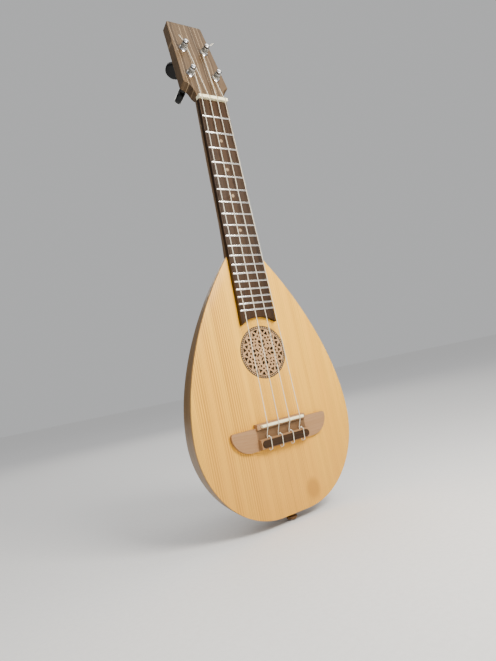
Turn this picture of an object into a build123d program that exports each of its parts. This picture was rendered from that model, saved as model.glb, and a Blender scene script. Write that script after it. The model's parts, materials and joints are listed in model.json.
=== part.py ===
# Bowl-backed four-string mandolin, upright: neck up +Z, front faces -Y, origin in the end pin's head.
# Millimetres. Y_TOP is the front of the soundboard; the bowl hangs behind it towards +Y.

from build123d import *

import os
from math import atan, cos, hypot, radians, sin, tan

os.makedirs("parts", exist_ok=True)

# height of the tail above the middle of the end pin's head
Z_TAIL = 5.6

# strings and scale
SCALE = 380.0
Z_NUT = Z_TAIL + 479.0
Z_SADDLE = Z_NUT - SCALE
STRING_R = 0.4
NUT_X = [-15.7, -5.2, 5.2, 15.7]
SADDLE_X = [-22.1, -7.35, 7.35, 22.1]

# body: half outline as two cubic curves, bowl depth as a share of the half width
Y_TOP = -12.0
TOP_T = 2.5
Y_RIM = Y_TOP + TOP_T
Z_JOINT = Z_TAIL + 289.0
HALF_W = 103.5
Z_WIDE = Z_TAIL + 96.4
JOINT_W = 22.4
FLARE = 0.70
FLAT = 17.0
DEPTH = 0.85
RIB_T = 1.8
RIBS = 9

# soundboard fittings
Z_ROSE = Z_TAIL + 177.4
ROSE_R = 30.0
BRIDGE_HALF = 63.5
BRIDGE_TOP = Z_SADDLE - 1.0
BRIDGE_LOW = Z_SADDLE - 24.5
BLOCK_HALF = 32.5
WING_T = 4.0
SADDLE_H = 11.4
CAP_Z = Z_SADDLE - 18.7
CAP_H = 9.6
PIN_R = 3.25
WAIST_R = 3.6
PIN_HEAD_R = 6.0

# neck and fingerboard
Y_BOARD = Y_TOP - 5.0
FRET_H = 1.0
BOARD_W = 19.0
BOARD_GROW = 0.01635
NUT_T = 4.5
Y_STRING_NUT = -19.4

# headstock: face tilted back, drawn on its own plane
TILT = radians(13.0)
HEAD_T = 12.5
HEAD_LEN = 124.4
FACE = Plane(origin=(0, -16.2, Z_NUT), x_dir=(1, 0, 0), z_dir=(0, -cos(TILT), sin(TILT)))
POSTS = [(-17.3, 38.4), (-14.3, 79.7), (14.3, 79.7), (17.3, 38.4)]
FLARE_CORNER = (30.1, 25.35)
# each button's turn, and each string tail's bearing, length and rise above the headstock's face
TURNS = [58.0, 148.0, 75.0, 20.0]
TAILS = [(200.0, 0.8, 0.0), (125.0, 8.0, 8.0), (20.0, 8.0, 26.0), (330.0, 0.8, 0.0)]
POST_R = 3.0
POST_HOLE_H = 8.2
CAP_R = 3.3
HOLE_R = 4.2
BUTTON_END = -41.5
# the turns of string on a post fill a sleeve between these heights
COIL_LOW = 2.3
COIL_HIGH = 7.3
COIL_R = POST_R + 2 * STRING_R + 0.05


def front(y):
    """Drawing plane facing the player: x across, y up the neck, extrudes forwards."""
    return Plane(origin=(0, y, 0), x_dir=(1, 0, 0), z_dir=(0, -1, 0))


def post_plane(u, v):
    """Plane through a tuner post's axis: x across the headstock, y out of its face."""
    return Plane(origin=FACE.from_local_coords((u, v, 0)), x_dir=(1, 0, 0), z_dir=(0, -sin(TILT), -cos(TILT)))


def upper_curve(share, inset):
    """Control points from the neck joint down to the widest point."""
    slope = atan(tan(FLARE) * share)
    wide = HALF_W * share - inset
    return [
        (JOINT_W * share - inset / cos(slope), Z_JOINT),
        ((JOINT_W + 61.5 * sin(FLARE)) * share - inset * cos(slope), Z_JOINT - 47.0 - inset * sin(slope)),
        (wide, Z_WIDE + 69.0),
        (wide, Z_WIDE),
    ]


def lower_curve(share, inset):
    """Control points from the widest point round to the flat of the tail."""
    wide = HALF_W * share - inset
    return [
        (wide, Z_WIDE),
        (wide, Z_WIDE - 52.5 + 0.35 * inset),
        ((FLAT + 48.5) * share - 0.35 * inset, Z_TAIL + inset),
        (FLAT * share, Z_TAIL + inset),
    ]


def rib_corner(k):
    """Cross-section corner k of the bowl for a half width of 1, as (x, y)."""
    angle = radians(180.0 * k / RIBS)
    return cos(angle), DEPTH * sin(angle)


def rib_facet(k):
    """Plane holding facet k's long profile, and its distance share from the axis."""
    x0, y0 = rib_corner(k)
    x1, y1 = rib_corner(k + 1)
    long = hypot(x1 - x0, y1 - y0)
    nx, ny = (y1 - y0) / long, (x0 - x1) / long
    return Plane(origin=(0, Y_RIM, 0), x_dir=(nx, ny, 0), z_dir=(ny, -nx, 0)), x0 * nx + y0 * ny


def trim_inside(inset=RIB_T):
    """Keep only what lies within the bowl's inner skin."""
    for k in range(RIBS):
        plane, share = rib_facet(k)
        with BuildSketch(plane) as within:
            with BuildLine():
                up = Bezier(*upper_curve(share, inset))
                Bezier(*lower_curve(share, inset))
                floor = Z_TAIL + inset
                Polyline((FLAT * share, floor), (-150, floor), (-150, Z_JOINT), up @ 0)
            make_face()
        extrude(within.sketch, amount=150, both=True, mode=Mode.INTERSECT)


def board_half(z):
    return BOARD_W + BOARD_GROW * (Z_NUT - z)


def fret_z(n):
    return Z_NUT - SCALE * (1 - 2 ** (-n / 12))


def neck_blank():
    """Half-ellipse sections lofted from the body joint to beyond the nut."""
    sections = [
        (Z_JOINT, JOINT_W, 21.6),
        (Z_JOINT + 19, 21.8, 18.9),
        (Z_JOINT + 56, 21.2, 17.4),
        (Z_NUT, BOARD_W, 15.6),
        (Z_NUT + 39, 18.4, 15.2),
    ]
    faces = []
    for z, half, deep in sections:
        with BuildSketch(Plane.XY.offset(z)) as section:
            with BuildLine():
                arc = EllipticalCenterArc((0, Y_TOP), half, deep, start_angle=0, arc_size=180)
                Line(arc @ 1, arc @ 0)
            make_face()
        faces.append(section.sketch)
    loft(faces)


# --- soundboard and rose ---
with BuildPart() as soundboard:
    with BuildSketch(front(Y_RIM)):
        with BuildLine():
            top = Bezier(*upper_curve(1, 0))
            Bezier(*lower_curve(1, 0))
            Polyline((FLAT, Z_TAIL), (0, Z_TAIL), (0, Z_JOINT), top @ 0)
        make_face()
        mirror(about=Plane.YZ)
    extrude(amount=TOP_T)
    with BuildSketch(front(Y_RIM)):
        with Locations((0, Z_ROSE)):
            Circle(ROSE_R)
    extrude(amount=TOP_T, mode=Mode.SUBTRACT)
soundboard.part.label = "soundboard"
export_step(soundboard.part, "parts/soundboard.step")

with BuildPart() as rose:
    with BuildSketch(front(Y_RIM)):
        with Locations((0, Z_ROSE)):
            Circle(ROSE_R)
            # lattice: a zigzag band of triangles, then two rings of round holes
            with PolarLocations(24.4, 16, 11.25):
                Triangle(a=5.6, b=4.9, c=4.9, rotation=90, mode=Mode.SUBTRACT)
            with PolarLocations(21.9, 16, 0):
                Triangle(a=4.8, b=4.7, c=4.7, rotation=-90, mode=Mode.SUBTRACT)
            with PolarLocations(18.7, 16, 11.25):
                Circle(1.15, mode=Mode.SUBTRACT)
            with PolarLocations(16.6, 16, 0):
                Circle(1.2, mode=Mode.SUBTRACT)
            # knot: paired eyes on the axes, slots along both diagonals
            for quarter in range(4):
                axis = 90 * quarter
                with PolarLocations(14.5, 2, axis + 33.75, 45):
                    Circle(0.85, mode=Mode.SUBTRACT)
                with PolarLocations(12.1, 1, axis + 11.5):
                    Ellipse(2.1, 1.55, rotation=10, mode=Mode.SUBTRACT)
                with PolarLocations(12.1, 1, axis - 11.5):
                    Ellipse(2.1, 1.55, rotation=-10, mode=Mode.SUBTRACT)
                with PolarLocations(8.0, 1, axis + 20):
                    SlotOverall(4.7, 1.75, rotation=26, mode=Mode.SUBTRACT)
                with PolarLocations(8.0, 1, axis - 20):
                    SlotOverall(4.7, 1.75, rotation=-26, mode=Mode.SUBTRACT)
                with PolarLocations(11.9, 1, axis + 45):
                    SlotOverall(3.0, 1.5, rotation=90, mode=Mode.SUBTRACT)
                with PolarLocations(5.5, 1, axis + 45):
                    SlotOverall(2.8, 1.3, rotation=90, mode=Mode.SUBTRACT)
                with PolarLocations(2.5, 1, axis):
                    Circle(0.9, mode=Mode.SUBTRACT)
    extrude(amount=TOP_T - 0.1)
rose.part.label = "rose"
export_step(rose.part, "parts/rose.step")

# --- bowl ---
for k in range(RIBS):
    facet, share = rib_facet(k)
    with BuildPart() as rib:
        with BuildSketch(facet):
            with BuildLine():
                outer = Bezier(*upper_curve(share, 0))
                tail = Bezier(*lower_curve(share, 0))
                inner = Bezier(*upper_curve(share, RIB_T))
                turn = Bezier(*lower_curve(share, RIB_T))
                Line(outer @ 0, inner @ 0)
                Line(tail @ 1, turn @ 1)
            make_face()
        extrude(amount=70, both=True)
        with BuildSketch(Plane.XY.offset(-5)):
            corners = [(150 * x, 150 * y + Y_RIM) for x, y in (rib_corner(k), rib_corner(k + 1))]
            with BuildLine():
                Polyline((0, Y_RIM), *corners, close=True)
            make_face()
        extrude(amount=300, mode=Mode.INTERSECT)
    rib.part.label = f"rib_{k + 1}"
    export_step(rib.part, f"parts/rib_{k + 1}.step")

with BuildPart() as tail_plate:
    with BuildSketch(Plane.XY.offset(Z_TAIL)):
        with BuildLine():
            Polyline(*[(FLAT * x, FLAT * y + Y_RIM) for x, y in map(rib_corner, range(RIBS + 1))], close=True)
        make_face()
        Circle(PIN_R, mode=Mode.SUBTRACT)
    extrude(amount=RIB_T)
tail_plate.part.label = "tail_plate"
export_step(tail_plate.part, "parts/tail_plate.step")

# --- inside the bowl ---
with BuildPart() as tail_block:
    with BuildSketch(Plane.XY.offset(Z_TAIL + RIB_T)):
        with Locations((0, Y_RIM + 14)):
            Rectangle(52, 28)
            with Locations((0, -14 - Y_RIM)):
                Circle(PIN_R, mode=Mode.SUBTRACT)
    extrude(amount=14)
    trim_inside()
tail_block.part.label = "tail_block"
export_step(tail_block.part, "parts/tail_block.step")

with BuildPart() as neck_block:
    with BuildSketch(Plane.XY.offset(Z_JOINT - 30)):
        with Locations((0, Y_RIM + 14)):
            Rectangle(60, 28)
    extrude(amount=30)
    trim_inside()
neck_block.part.label = "neck_block"
export_step(neck_block.part, "parts/neck_block.step")

with BuildPart() as lining:
    with BuildSketch(front(Y_RIM + 6)):
        with BuildLine():
            edge = Bezier(*upper_curve(1, 0))
            rim = Bezier(*lower_curve(1, 0))
            band = Bezier(*upper_curve(1, 6.5))
            bend = Bezier(*lower_curve(1, 6.5))
            Line(edge @ 0, band @ 0)
            Line(rim @ 1, bend @ 1)
        make_face()
        mirror(about=Plane.YZ)
    extrude(amount=6)
    trim_inside()
    with Locations((0, Y_RIM + 3, Z_TAIL + RIB_T + 7)):
        Box(52, 6, 14, mode=Mode.SUBTRACT)
    with Locations((0, Y_RIM + 3, Z_JOINT - 15)):
        Box(120, 6, 30, mode=Mode.SUBTRACT)
lining.part.label = "lining"
export_step(lining.part, "parts/lining.step")

with BuildPart() as soundboard_bars:
    for z, half in ((Z_ROSE + 44.6, 56), (Z_ROSE - 43.4, 86)):
        with BuildSketch(Plane.XY.offset(z)):
            with BuildLine():
                Polyline((-half, Y_RIM), (-half, Y_RIM + 3), (-half + 18, Y_RIM + 10))
                Polyline((-half + 18, Y_RIM + 10), (half - 18, Y_RIM + 10), (half, Y_RIM + 3))
                Polyline((half, Y_RIM + 3), (half, Y_RIM), (-half, Y_RIM))
            make_face()
        extrude(amount=5)
soundboard_bars.part.label = "soundboard_bars"
export_step(soundboard_bars.part, "parts/soundboard_bars.step")

with BuildPart() as bridge_plate:
    with BuildSketch(front(Y_RIM + 2)):
        with Locations((0, Z_SADDLE - 13)):
            RectangleRounded(150, 30, 6)
    extrude(amount=2)
bridge_plate.part.label = "bridge_plate"
export_step(bridge_plate.part, "parts/bridge_plate.step")

# --- neck and headstock ---
with BuildPart() as neck:
    neck_blank()
    with BuildSketch(FACE.offset(-HEAD_T)):
        Rectangle(200, 500)
    extrude(amount=80, mode=Mode.SUBTRACT)
neck.part.label = "neck"
export_step(neck.part, "parts/neck.step")

# tongue of the scarf joint, which runs down under the end of the fingerboard
with BuildPart() as scarf:
    neck_blank()
    with BuildSketch(FACE.offset(-HEAD_T)):
        Rectangle(200, 500)
    extrude(amount=80, mode=Mode.INTERSECT)
    with Locations((0, 0, Z_NUT + NUT_T + 50)):
        Box(200, 200, 100, mode=Mode.SUBTRACT)

with BuildPart() as headstock:
    with BuildSketch(FACE):
        with BuildLine():
            flare = Bezier((BOARD_W, 0), (BOARD_W, 13), (20.5, 21), FLARE_CORNER)
            side = Line(flare @ 1, (23.9, HEAD_LEN - 3))
            corner = RadiusArc(side @ 1, (21.0, HEAD_LEN), -3)
            Polyline(corner @ 1, (0, HEAD_LEN), (0, 0), flare @ 0)
        make_face()
        mirror(about=Plane.YZ)
        with Locations(*POSTS):
            Circle(HOLE_R, mode=Mode.SUBTRACT)
    extrude(amount=-HEAD_T)
    with Locations((0, -20, Z_NUT + NUT_T - 50)):
        Box(200, 200, 100, mode=Mode.SUBTRACT)
    # the back edges of the flare are carved away, more and more towards the round of the neck
    for side in (1, -1):
        outer = FACE.from_local_coords((side * FLARE_CORNER[0], FLARE_CORNER[1], -HEAD_T))
        edge = FACE.from_local_coords((side * (BOARD_W + 0.3), NUT_T, -5.0))
        back = FACE.from_local_coords((side * 14.5, NUT_T, -HEAD_T))
        inwards = (back - outer).cross(edge - outer) * side
        split(bisect_by=Plane(origin=outer, x_dir=back - outer, z_dir=inwards), keep=Keep.TOP)
    add(scarf.part)
headstock.part.label = "headstock"
export_step(headstock.part, "parts/headstock.step")

with BuildPart() as fingerboard:
    low = Z_ROSE + 39.6
    with BuildSketch(front(Y_TOP)):
        with BuildLine():
            wide = board_half(low - 20)
            Polyline((0, low - 20), (wide, low - 20), (BOARD_W, Z_NUT), (0, Z_NUT), close=True)
        make_face()
        mirror(about=Plane.YZ)
        with Locations((0, Z_ROSE)):
            Circle(39.6, mode=Mode.SUBTRACT)
    extrude(amount=5)
    for n in range(1, 20):
        with Locations((0, Y_BOARD + 0.75, fret_z(n))):
            Box(60, 1.5, 0.6, mode=Mode.SUBTRACT)
    for n in (3, 5, 7, 10):
        with BuildSketch(front(Y_BOARD)):
            with Locations((0, (fret_z(n) + fret_z(n - 1)) / 2)):
                Circle(2.0)
        extrude(amount=-1.2, mode=Mode.SUBTRACT)
fingerboard.part.label = "fingerboard"
export_step(fingerboard.part, "parts/fingerboard.step")

with BuildPart() as position_dots:
    for n in (3, 5, 7, 10):
        with BuildSketch(front(Y_BOARD)):
            with Locations((0, (fret_z(n) + fret_z(n - 1)) / 2)):
                Circle(2.0)
        extrude(amount=-1.2)
position_dots.part.label = "position_dots"
export_step(position_dots.part, "parts/position_dots.step")

with BuildPart() as frets:
    for n in range(1, 20):
        half = board_half(fret_z(n)) - 0.5
        with BuildSketch(Plane(origin=(-half, Y_BOARD, fret_z(n)), x_dir=(0, 0, 1), z_dir=(1, 0, 0))):
            with BuildLine():
                ThreePointArc((-1.1, 0), (0, FRET_H), (1.1, 0))
                Polyline((1.1, 0), (0.3, 0), (0.3, -1.5), (-0.3, -1.5), (-0.3, 0), (-1.1, 0))
            make_face()
        extrude(amount=2 * half)
frets.part.label = "frets"
export_step(frets.part, "parts/frets.step")

with BuildPart() as nut:
    with BuildSketch(Plane(origin=(-BOARD_W, 0, 0), x_dir=(0, 0, 1), z_dir=(1, 0, 0))):
        with BuildLine():
            Polyline((Z_NUT, -Y_TOP), (Z_NUT, 20.6), (Z_NUT + 0.4, 21.0), (Z_NUT + 2.6, 21.0))
            back = RadiusArc((Z_NUT + 2.6, 21.0), (Z_NUT + NUT_T, 19.6), 2.6)
            Polyline(back @ 1, (Z_NUT + NUT_T, -Y_TOP), (Z_NUT, -Y_TOP))
        make_face()
    extrude(amount=2 * BOARD_W)
    for x in NUT_X:
        with BuildSketch(Plane(origin=(x - 0.65, 0, 0), x_dir=(0, 0, 1), z_dir=(1, 0, 0))):
            with BuildLine():
                floor = -Y_STRING_NUT - STRING_R - 0.02
                Polyline((Z_NUT - 1, floor), (Z_NUT + 1.5, floor), (Z_NUT + 6, floor - 1.6))
                Polyline((Z_NUT + 6, floor - 1.6), (Z_NUT + 6, 22), (Z_NUT - 1, 22), (Z_NUT - 1, floor))
            make_face()
        extrude(amount=1.3, mode=Mode.SUBTRACT)
nut.part.label = "nut"
export_step(nut.part, "parts/nut.step")

# --- bridge ---
with BuildPart() as bridge:
    with BuildSketch(front(Y_TOP)):
        with BuildLine():
            Polyline((0, BRIDGE_LOW), (42, BRIDGE_LOW))
            sweep_low = TangentArc((42, BRIDGE_LOW), (BRIDGE_HALF, BRIDGE_TOP - 5), tangent=(1, 0))
            Line(sweep_low @ 1, (BRIDGE_HALF, BRIDGE_TOP - 3))
            RadiusArc((BRIDGE_HALF, BRIDGE_TOP - 3), (BRIDGE_HALF - 3, BRIDGE_TOP), -3)
            Polyline((BRIDGE_HALF - 3, BRIDGE_TOP), (0, BRIDGE_TOP), (0, BRIDGE_LOW))
        make_face()
        mirror(about=Plane.YZ)
    extrude(amount=WING_T)
    # centre block: saddle ridge, trough and tie block drawn in profile
    with BuildSketch(Plane(origin=(-BLOCK_HALF, 0, 0), x_dir=(0, 0, 1), z_dir=(1, 0, 0))):
        with BuildLine():
            base, tie = -Y_TOP + 1, -Y_TOP + CAP_H
            ridge = -Y_TOP + 7.2
            tie_block = Polyline((BRIDGE_LOW, base), (BRIDGE_LOW + 1.2, tie), (Z_SADDLE - 14, tie))
            trough = Polyline(tie_block @ 1, (Z_SADDLE - 12.8, base + 3.6), (Z_SADDLE - 3.6, base + 3.6))
            saddle_ridge = Polyline(trough @ 1, (Z_SADDLE - 2.8, ridge), (Z_SADDLE + 2.5, ridge))
            Polyline(saddle_ridge @ 1, (Z_SADDLE + 3.1, base), tie_block @ 0)
        make_face()
    extrude(amount=2 * BLOCK_HALF)
    with Locations((0, Y_TOP - 6.5, Z_SADDLE)):
        Box(56, 7, 3.0, mode=Mode.SUBTRACT)
    for x in SADDLE_X:
        with BuildSketch(Plane.XY.offset(BRIDGE_LOW - 3)):
            with Locations((x, Y_TOP - 6.6)):
                Circle(0.6)
        extrude(amount=16, mode=Mode.SUBTRACT)
    with BuildSketch(front(Y_TOP - CAP_H + 0.8)):
        with Locations((0, CAP_Z)):
            SlotOverall(63, 8)
    extrude(amount=5, mode=Mode.SUBTRACT)
bridge.part.label = "bridge"
export_step(bridge.part, "parts/bridge.step")

with BuildPart() as tie_block_cap:
    with BuildSketch(front(Y_TOP - CAP_H + 0.8)):
        with Locations((0, CAP_Z)):
            SlotOverall(63, 8)
    extrude(amount=2.0)
    fillet(tie_block_cap.edges().group_by(Axis.Y)[0], 0.7)
tie_block_cap.part.label = "tie_block_cap"
export_step(tie_block_cap.part, "parts/tie_block_cap.step")

with BuildPart() as saddle:
    with BuildSketch(Plane(origin=(-28, 0, 0), x_dir=(0, 0, 1), z_dir=(1, 0, 0))):
        with BuildLine():
            seat, crest = -Y_TOP + 3, -Y_TOP + SADDLE_H
            low, high = Z_SADDLE - 1.5, Z_SADDLE + 1.5
            Polyline((low, crest - 1.5), (low, seat), (high, seat), (high, crest - 1.5))
            RadiusArc((high, crest - 1.5), (low, crest - 1.5), -1.5)
        make_face()
    extrude(amount=56)
saddle.part.label = "saddle"
export_step(saddle.part, "parts/saddle.step")

# --- tuners: ferrule, sleeve, post, button, screw and the string wound on the post ---
with BuildPart() as front_ferrules:
    for u, v in POSTS:
        hub = post_plane(u, v)
        with BuildSketch(hub):
            with BuildLine():
                Polyline((POST_R + 0.05, -8), (HOLE_R, -8), (HOLE_R, 0), (5.1, 0), (5.1, 0.7), (4.6, 1.0))
                Polyline((4.6, 1.0), (4.0, 2.2), (POST_R + 0.05, 2.2), (POST_R + 0.05, -8))
            make_face()
        revolve(axis=Axis(hub.origin, hub.y_dir))
front_ferrules.part.label = "front_ferrules"
export_step(front_ferrules.part, "parts/front_ferrules.step")

with BuildPart() as rear_sleeves:
    for u, v in POSTS:
        hub = post_plane(u, v)
        with BuildSketch(hub):
            with BuildLine():
                Polyline((POST_R + 0.05, -8.1), (HOLE_R, -8.1), (HOLE_R, -HEAD_T), (6.5, -HEAD_T), (6.5, -14))
                Polyline((6.5, -14), (5.2, -19.5), (POST_R + 0.05, -19.5), (POST_R + 0.05, -8.1))
            make_face()
        revolve(axis=Axis(hub.origin, hub.y_dir))
rear_sleeves.part.label = "rear_sleeves"
export_step(rear_sleeves.part, "parts/rear_sleeves.step")

for n, (u, v) in enumerate(POSTS):
    foot = FACE.from_local_coords((u, v, 0))
    hub = post_plane(u, v)
    bearing, loose, rise = TAILS[n]
    level = FACE.x_dir * cos(radians(bearing)) + FACE.y_dir * sin(radians(bearing))
    away = level * cos(radians(rise)) + FACE.z_dir * sin(radians(rise))
    hole = Plane(origin=foot + FACE.z_dir * POST_HOLE_H, x_dir=level.cross(FACE.z_dir), z_dir=away)
    with BuildPart() as tuner_post:
        with BuildSketch(hub):
            with BuildLine():
                Polyline((0, -30), (2.4, -30), (2.4, -19.6), (POST_R, -19.6), (POST_R, 9.2), (2.5, 9.5))
                Polyline((2.5, 9.5), (2.5, 10.1), (CAP_R, 10.3), (CAP_R, 11.3))
                RadiusArc((CAP_R, 11.3), (0, 12.2), -6.5)
                Line((0, 12.2), (0, -30))
            make_face()
        revolve(axis=Axis(hub.origin, hub.y_dir))
        with BuildSketch(hole):
            Circle(0.6)
        extrude(amount=5, both=True, mode=Mode.SUBTRACT)
    tuner_post.part.label = f"tuner_post_{n + 1}"
    export_step(tuner_post.part, f"parts/tuner_post_{n + 1}.step")

    spin = radians(TURNS[n])
    across = FACE.x_dir * cos(spin) + FACE.y_dir * sin(spin)
    paddle = Plane(origin=foot, x_dir=across, z_dir=across.cross(FACE.z_dir))
    with BuildPart() as tuner_button:
        with BuildSketch(paddle):
            with BuildLine():
                Polyline((0, -19.7), (4.6, -19.7), (5.2, -22.5))
                Bezier((5.2, -22.5), (6.0, -25), (10.6, -26), (10.6, -31))
                Bezier((10.6, -31), (10.6, -37.5), (7.0, BUTTON_END), (0, BUTTON_END))
                Line((0, BUTTON_END), (0, -19.7))
            make_face()
            mirror(about=Plane.YZ)
        extrude(amount=4.4, both=True)
        fillet(tuner_button.edges().filter_by(GeomType.LINE, reverse=True), 1.6)
        with BuildSketch(hub):
            with BuildLine():
                seat = BUTTON_END + 1.9
                Polyline((0, -19), (2.4, -19), (2.4, -30), (1.5, -30), (1.5, seat), (2.8, seat), (2.8, -45))
                Polyline((2.8, -45), (0, -45), (0, -19))
            make_face()
        revolve(axis=Axis(hub.origin, hub.y_dir), mode=Mode.SUBTRACT)
    tuner_button.part.label = f"tuner_button_{n + 1}"
    export_step(tuner_button.part, f"parts/tuner_button_{n + 1}.step")

    with BuildPart() as button_screw:
        with BuildSketch(hub):
            with BuildLine():
                rim = BUTTON_END + 1.1
                Polyline((0, -30), (1.5, -30), (1.5, seat), (2.8, seat), (2.8, rim))
                Bezier((2.8, rim), (2.5, rim - 0.8), (1.2, BUTTON_END), (0, BUTTON_END))
                Line((0, BUTTON_END), (0, -30))
            make_face()
        revolve(axis=Axis(hub.origin, hub.y_dir))
    button_screw.part.label = f"button_screw_{n + 1}"
    export_step(button_screw.part, f"parts/button_screw_{n + 1}.step")

    # outer shape of the turns, and the loose end that runs through the post's hole and out the far side
    with BuildPart() as string_winding:
        with BuildSketch(hub):
            with BuildLine():
                bore = POST_R + 0.03
                Line((bore, COIL_LOW), (COIL_R, COIL_LOW + 0.1))
                Line((COIL_R, COIL_LOW + 0.1), (COIL_R, COIL_HIGH - 0.1))
                Line((COIL_R, COIL_HIGH - 0.1), (bore, COIL_HIGH))
                Line((bore, COIL_HIGH), (bore, COIL_LOW))
            make_face()
        revolve(axis=Axis(hub.origin, hub.y_dir))
        with BuildSketch(hole.offset(-POST_R - 0.6)):
            Circle(STRING_R)
        extrude(amount=2 * POST_R + 0.6 + loose)
    string_winding.part.label = f"string_winding_{n + 1}"
    export_step(string_winding.part, f"parts/string_winding_{n + 1}.step")

# --- strings: over nut and saddle, through the tie block and looped over its cap ---
for n, (u, v) in enumerate(POSTS):
    inner = COIL_R + STRING_R + 0.05
    end = FACE.from_local_coords((u - inner if u > 0 else u + inner, v, COIL_LOW + 0.7))
    xs = SADDLE_X[n]
    crest = Y_TOP - SADDLE_H - STRING_R - 0.02
    over = Y_TOP - CAP_H - 1.2 - STRING_R - 0.05
    lean = 1.5
    with BuildPart() as string:
        with BuildLine():
            route = FilletPolyline(
                end,
                (NUT_X[n], Y_STRING_NUT, Z_NUT + 1.2),
                (xs, crest - 0.08, Z_SADDLE - 0.5),
                (xs, Y_TOP - 6.6, Z_SADDLE - 11),
                (xs, Y_TOP - 6.6, BRIDGE_LOW - 1.9),
                (xs + lean * 0.4, over, BRIDGE_LOW - 0.3),
                (xs + lean, over, Z_SADDLE - 12.8),
                (xs + lean, over + 3.4, Z_SADDLE - 11.6),
                radius=1.2,
            )
        with BuildSketch(Plane(origin=route @ 0, z_dir=route % 0)):
            Circle(STRING_R)
        sweep(path=route)
        with Locations(route @ 1):
            Sphere(0.95)
    string.part.label = f"string_{n + 1}"
    export_step(string.part, f"parts/string_{n + 1}.step")

# --- end pin ---
with BuildPart() as end_pin:
    with BuildSketch(Plane.XZ):
        with BuildLine():
            collar = Z_TAIL - 1.2
            Polyline((0, Z_TAIL + 15), (2.6, Z_TAIL + 15), (PIN_R, Z_TAIL + 13), (PIN_R, Z_TAIL))
            Polyline((PIN_R, Z_TAIL), (5.6, Z_TAIL), (5.6, collar), (WAIST_R, collar - 0.6), (WAIST_R, 2.0))
            Bezier((WAIST_R, 2.0), (4.4, 1.5), (PIN_HEAD_R, 1.6), (PIN_HEAD_R, 1.0))
            Line((PIN_HEAD_R, 1.0), (PIN_HEAD_R, -1.0))
            Bezier((PIN_HEAD_R, -1.0), (PIN_HEAD_R, -2.0), (3.0, -2.4), (0, -2.4))
            Line((0, -2.4), (0, Z_TAIL + 15))
        make_face()
    revolve(axis=Axis.Z)
end_pin.part.label = "end_pin"
export_step(end_pin.part, "parts/end_pin.step")
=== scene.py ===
"""A bowl-backed four-string mandolin: spruce front, carved rose, walnut bowl and neck, friction tuners."""

import json
from math import atan, cos, pi, radians, sin, tan

import bmesh
import bpy
import numpy as np
from bpy.props import FloatProperty, FloatVectorProperty, PointerProperty
from mathutils import Matrix, Vector


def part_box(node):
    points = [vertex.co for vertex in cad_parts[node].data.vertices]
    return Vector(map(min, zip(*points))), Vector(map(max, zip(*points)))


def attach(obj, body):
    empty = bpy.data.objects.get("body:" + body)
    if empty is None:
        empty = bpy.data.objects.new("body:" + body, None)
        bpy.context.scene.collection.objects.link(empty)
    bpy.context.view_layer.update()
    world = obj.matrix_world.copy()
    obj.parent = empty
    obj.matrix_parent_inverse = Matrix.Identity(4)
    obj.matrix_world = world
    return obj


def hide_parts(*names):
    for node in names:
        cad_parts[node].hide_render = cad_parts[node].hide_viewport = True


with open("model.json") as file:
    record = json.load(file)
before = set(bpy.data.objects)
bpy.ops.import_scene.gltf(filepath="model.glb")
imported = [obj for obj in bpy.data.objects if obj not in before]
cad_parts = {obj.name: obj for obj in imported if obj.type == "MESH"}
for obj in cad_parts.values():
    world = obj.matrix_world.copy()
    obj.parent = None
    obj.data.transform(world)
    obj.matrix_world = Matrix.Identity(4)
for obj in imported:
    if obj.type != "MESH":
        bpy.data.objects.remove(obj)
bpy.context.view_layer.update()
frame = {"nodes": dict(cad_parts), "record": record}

bl_info = {
    "name": "Bowl-back mandolin",
    "version": (1, 0, 0),
    "blender": (4, 5, 0),
    "location": "3D View > Sidebar > Mandolin",
    "description": "Builds the wood, bone, metal and string surfaces of a small bowl-backed mandolin",
    "category": "Add Mesh",
}

ROOT = "instrument"
MM = 0.001

# --- sizes, in metres, worked out from the frame ---
TOP_LOW, TOP_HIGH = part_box("soundboard")
Z_TAIL, Z_JOINT = TOP_LOW.z, TOP_HIGH.z
Y_TOP, Y_RIM = TOP_LOW.y, TOP_HIGH.y
HALF_W = TOP_HIGH.x
ROSE_LOW, ROSE_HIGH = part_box("rose")
ROSE_Z = (ROSE_LOW.z + ROSE_HIGH.z) / 2
ROSE_R = (ROSE_HIGH.x - ROSE_LOW.x) / 2
BOARD_LOW, BOARD_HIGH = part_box("fingerboard")
JOINTS = frame["record"]["behaviour"]["joints"]
FACE_OUT = Vector(JOINTS[0]["axis"]).normalized()
FACE_UP = Vector((1, 0, 0)).cross(FACE_OUT) * -1
TILT = atan(FACE_OUT.z / -FACE_OUT.y)
RIB_COUNT = sum(name.startswith("rib_") for name in frame["nodes"])
BOWL_DEPTH = 0.85
RIB_T = 1.8 * MM
JOINT_W = 22.4 * MM
FLAT = 17.0 * MM
FLARE = 0.70
STRING_R = 0.4 * MM
BEADS = 72
BEAD_R = 28.3 * MM
BEAD_BAND = 1.15 * MM
POST_R = 3.0 * MM
POST_HOLE_H = 8.2 * MM
FLOOR_Z = -3.2 * MM
# each loose end: bearing on the face, length past the post and rise above the face
LOOSE_ENDS = ((200.0, 0.8, 0.0), (125.0, 8.0, 8.0), (20.0, 8.0, 26.0), (330.0, 0.8, 0.0))


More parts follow.
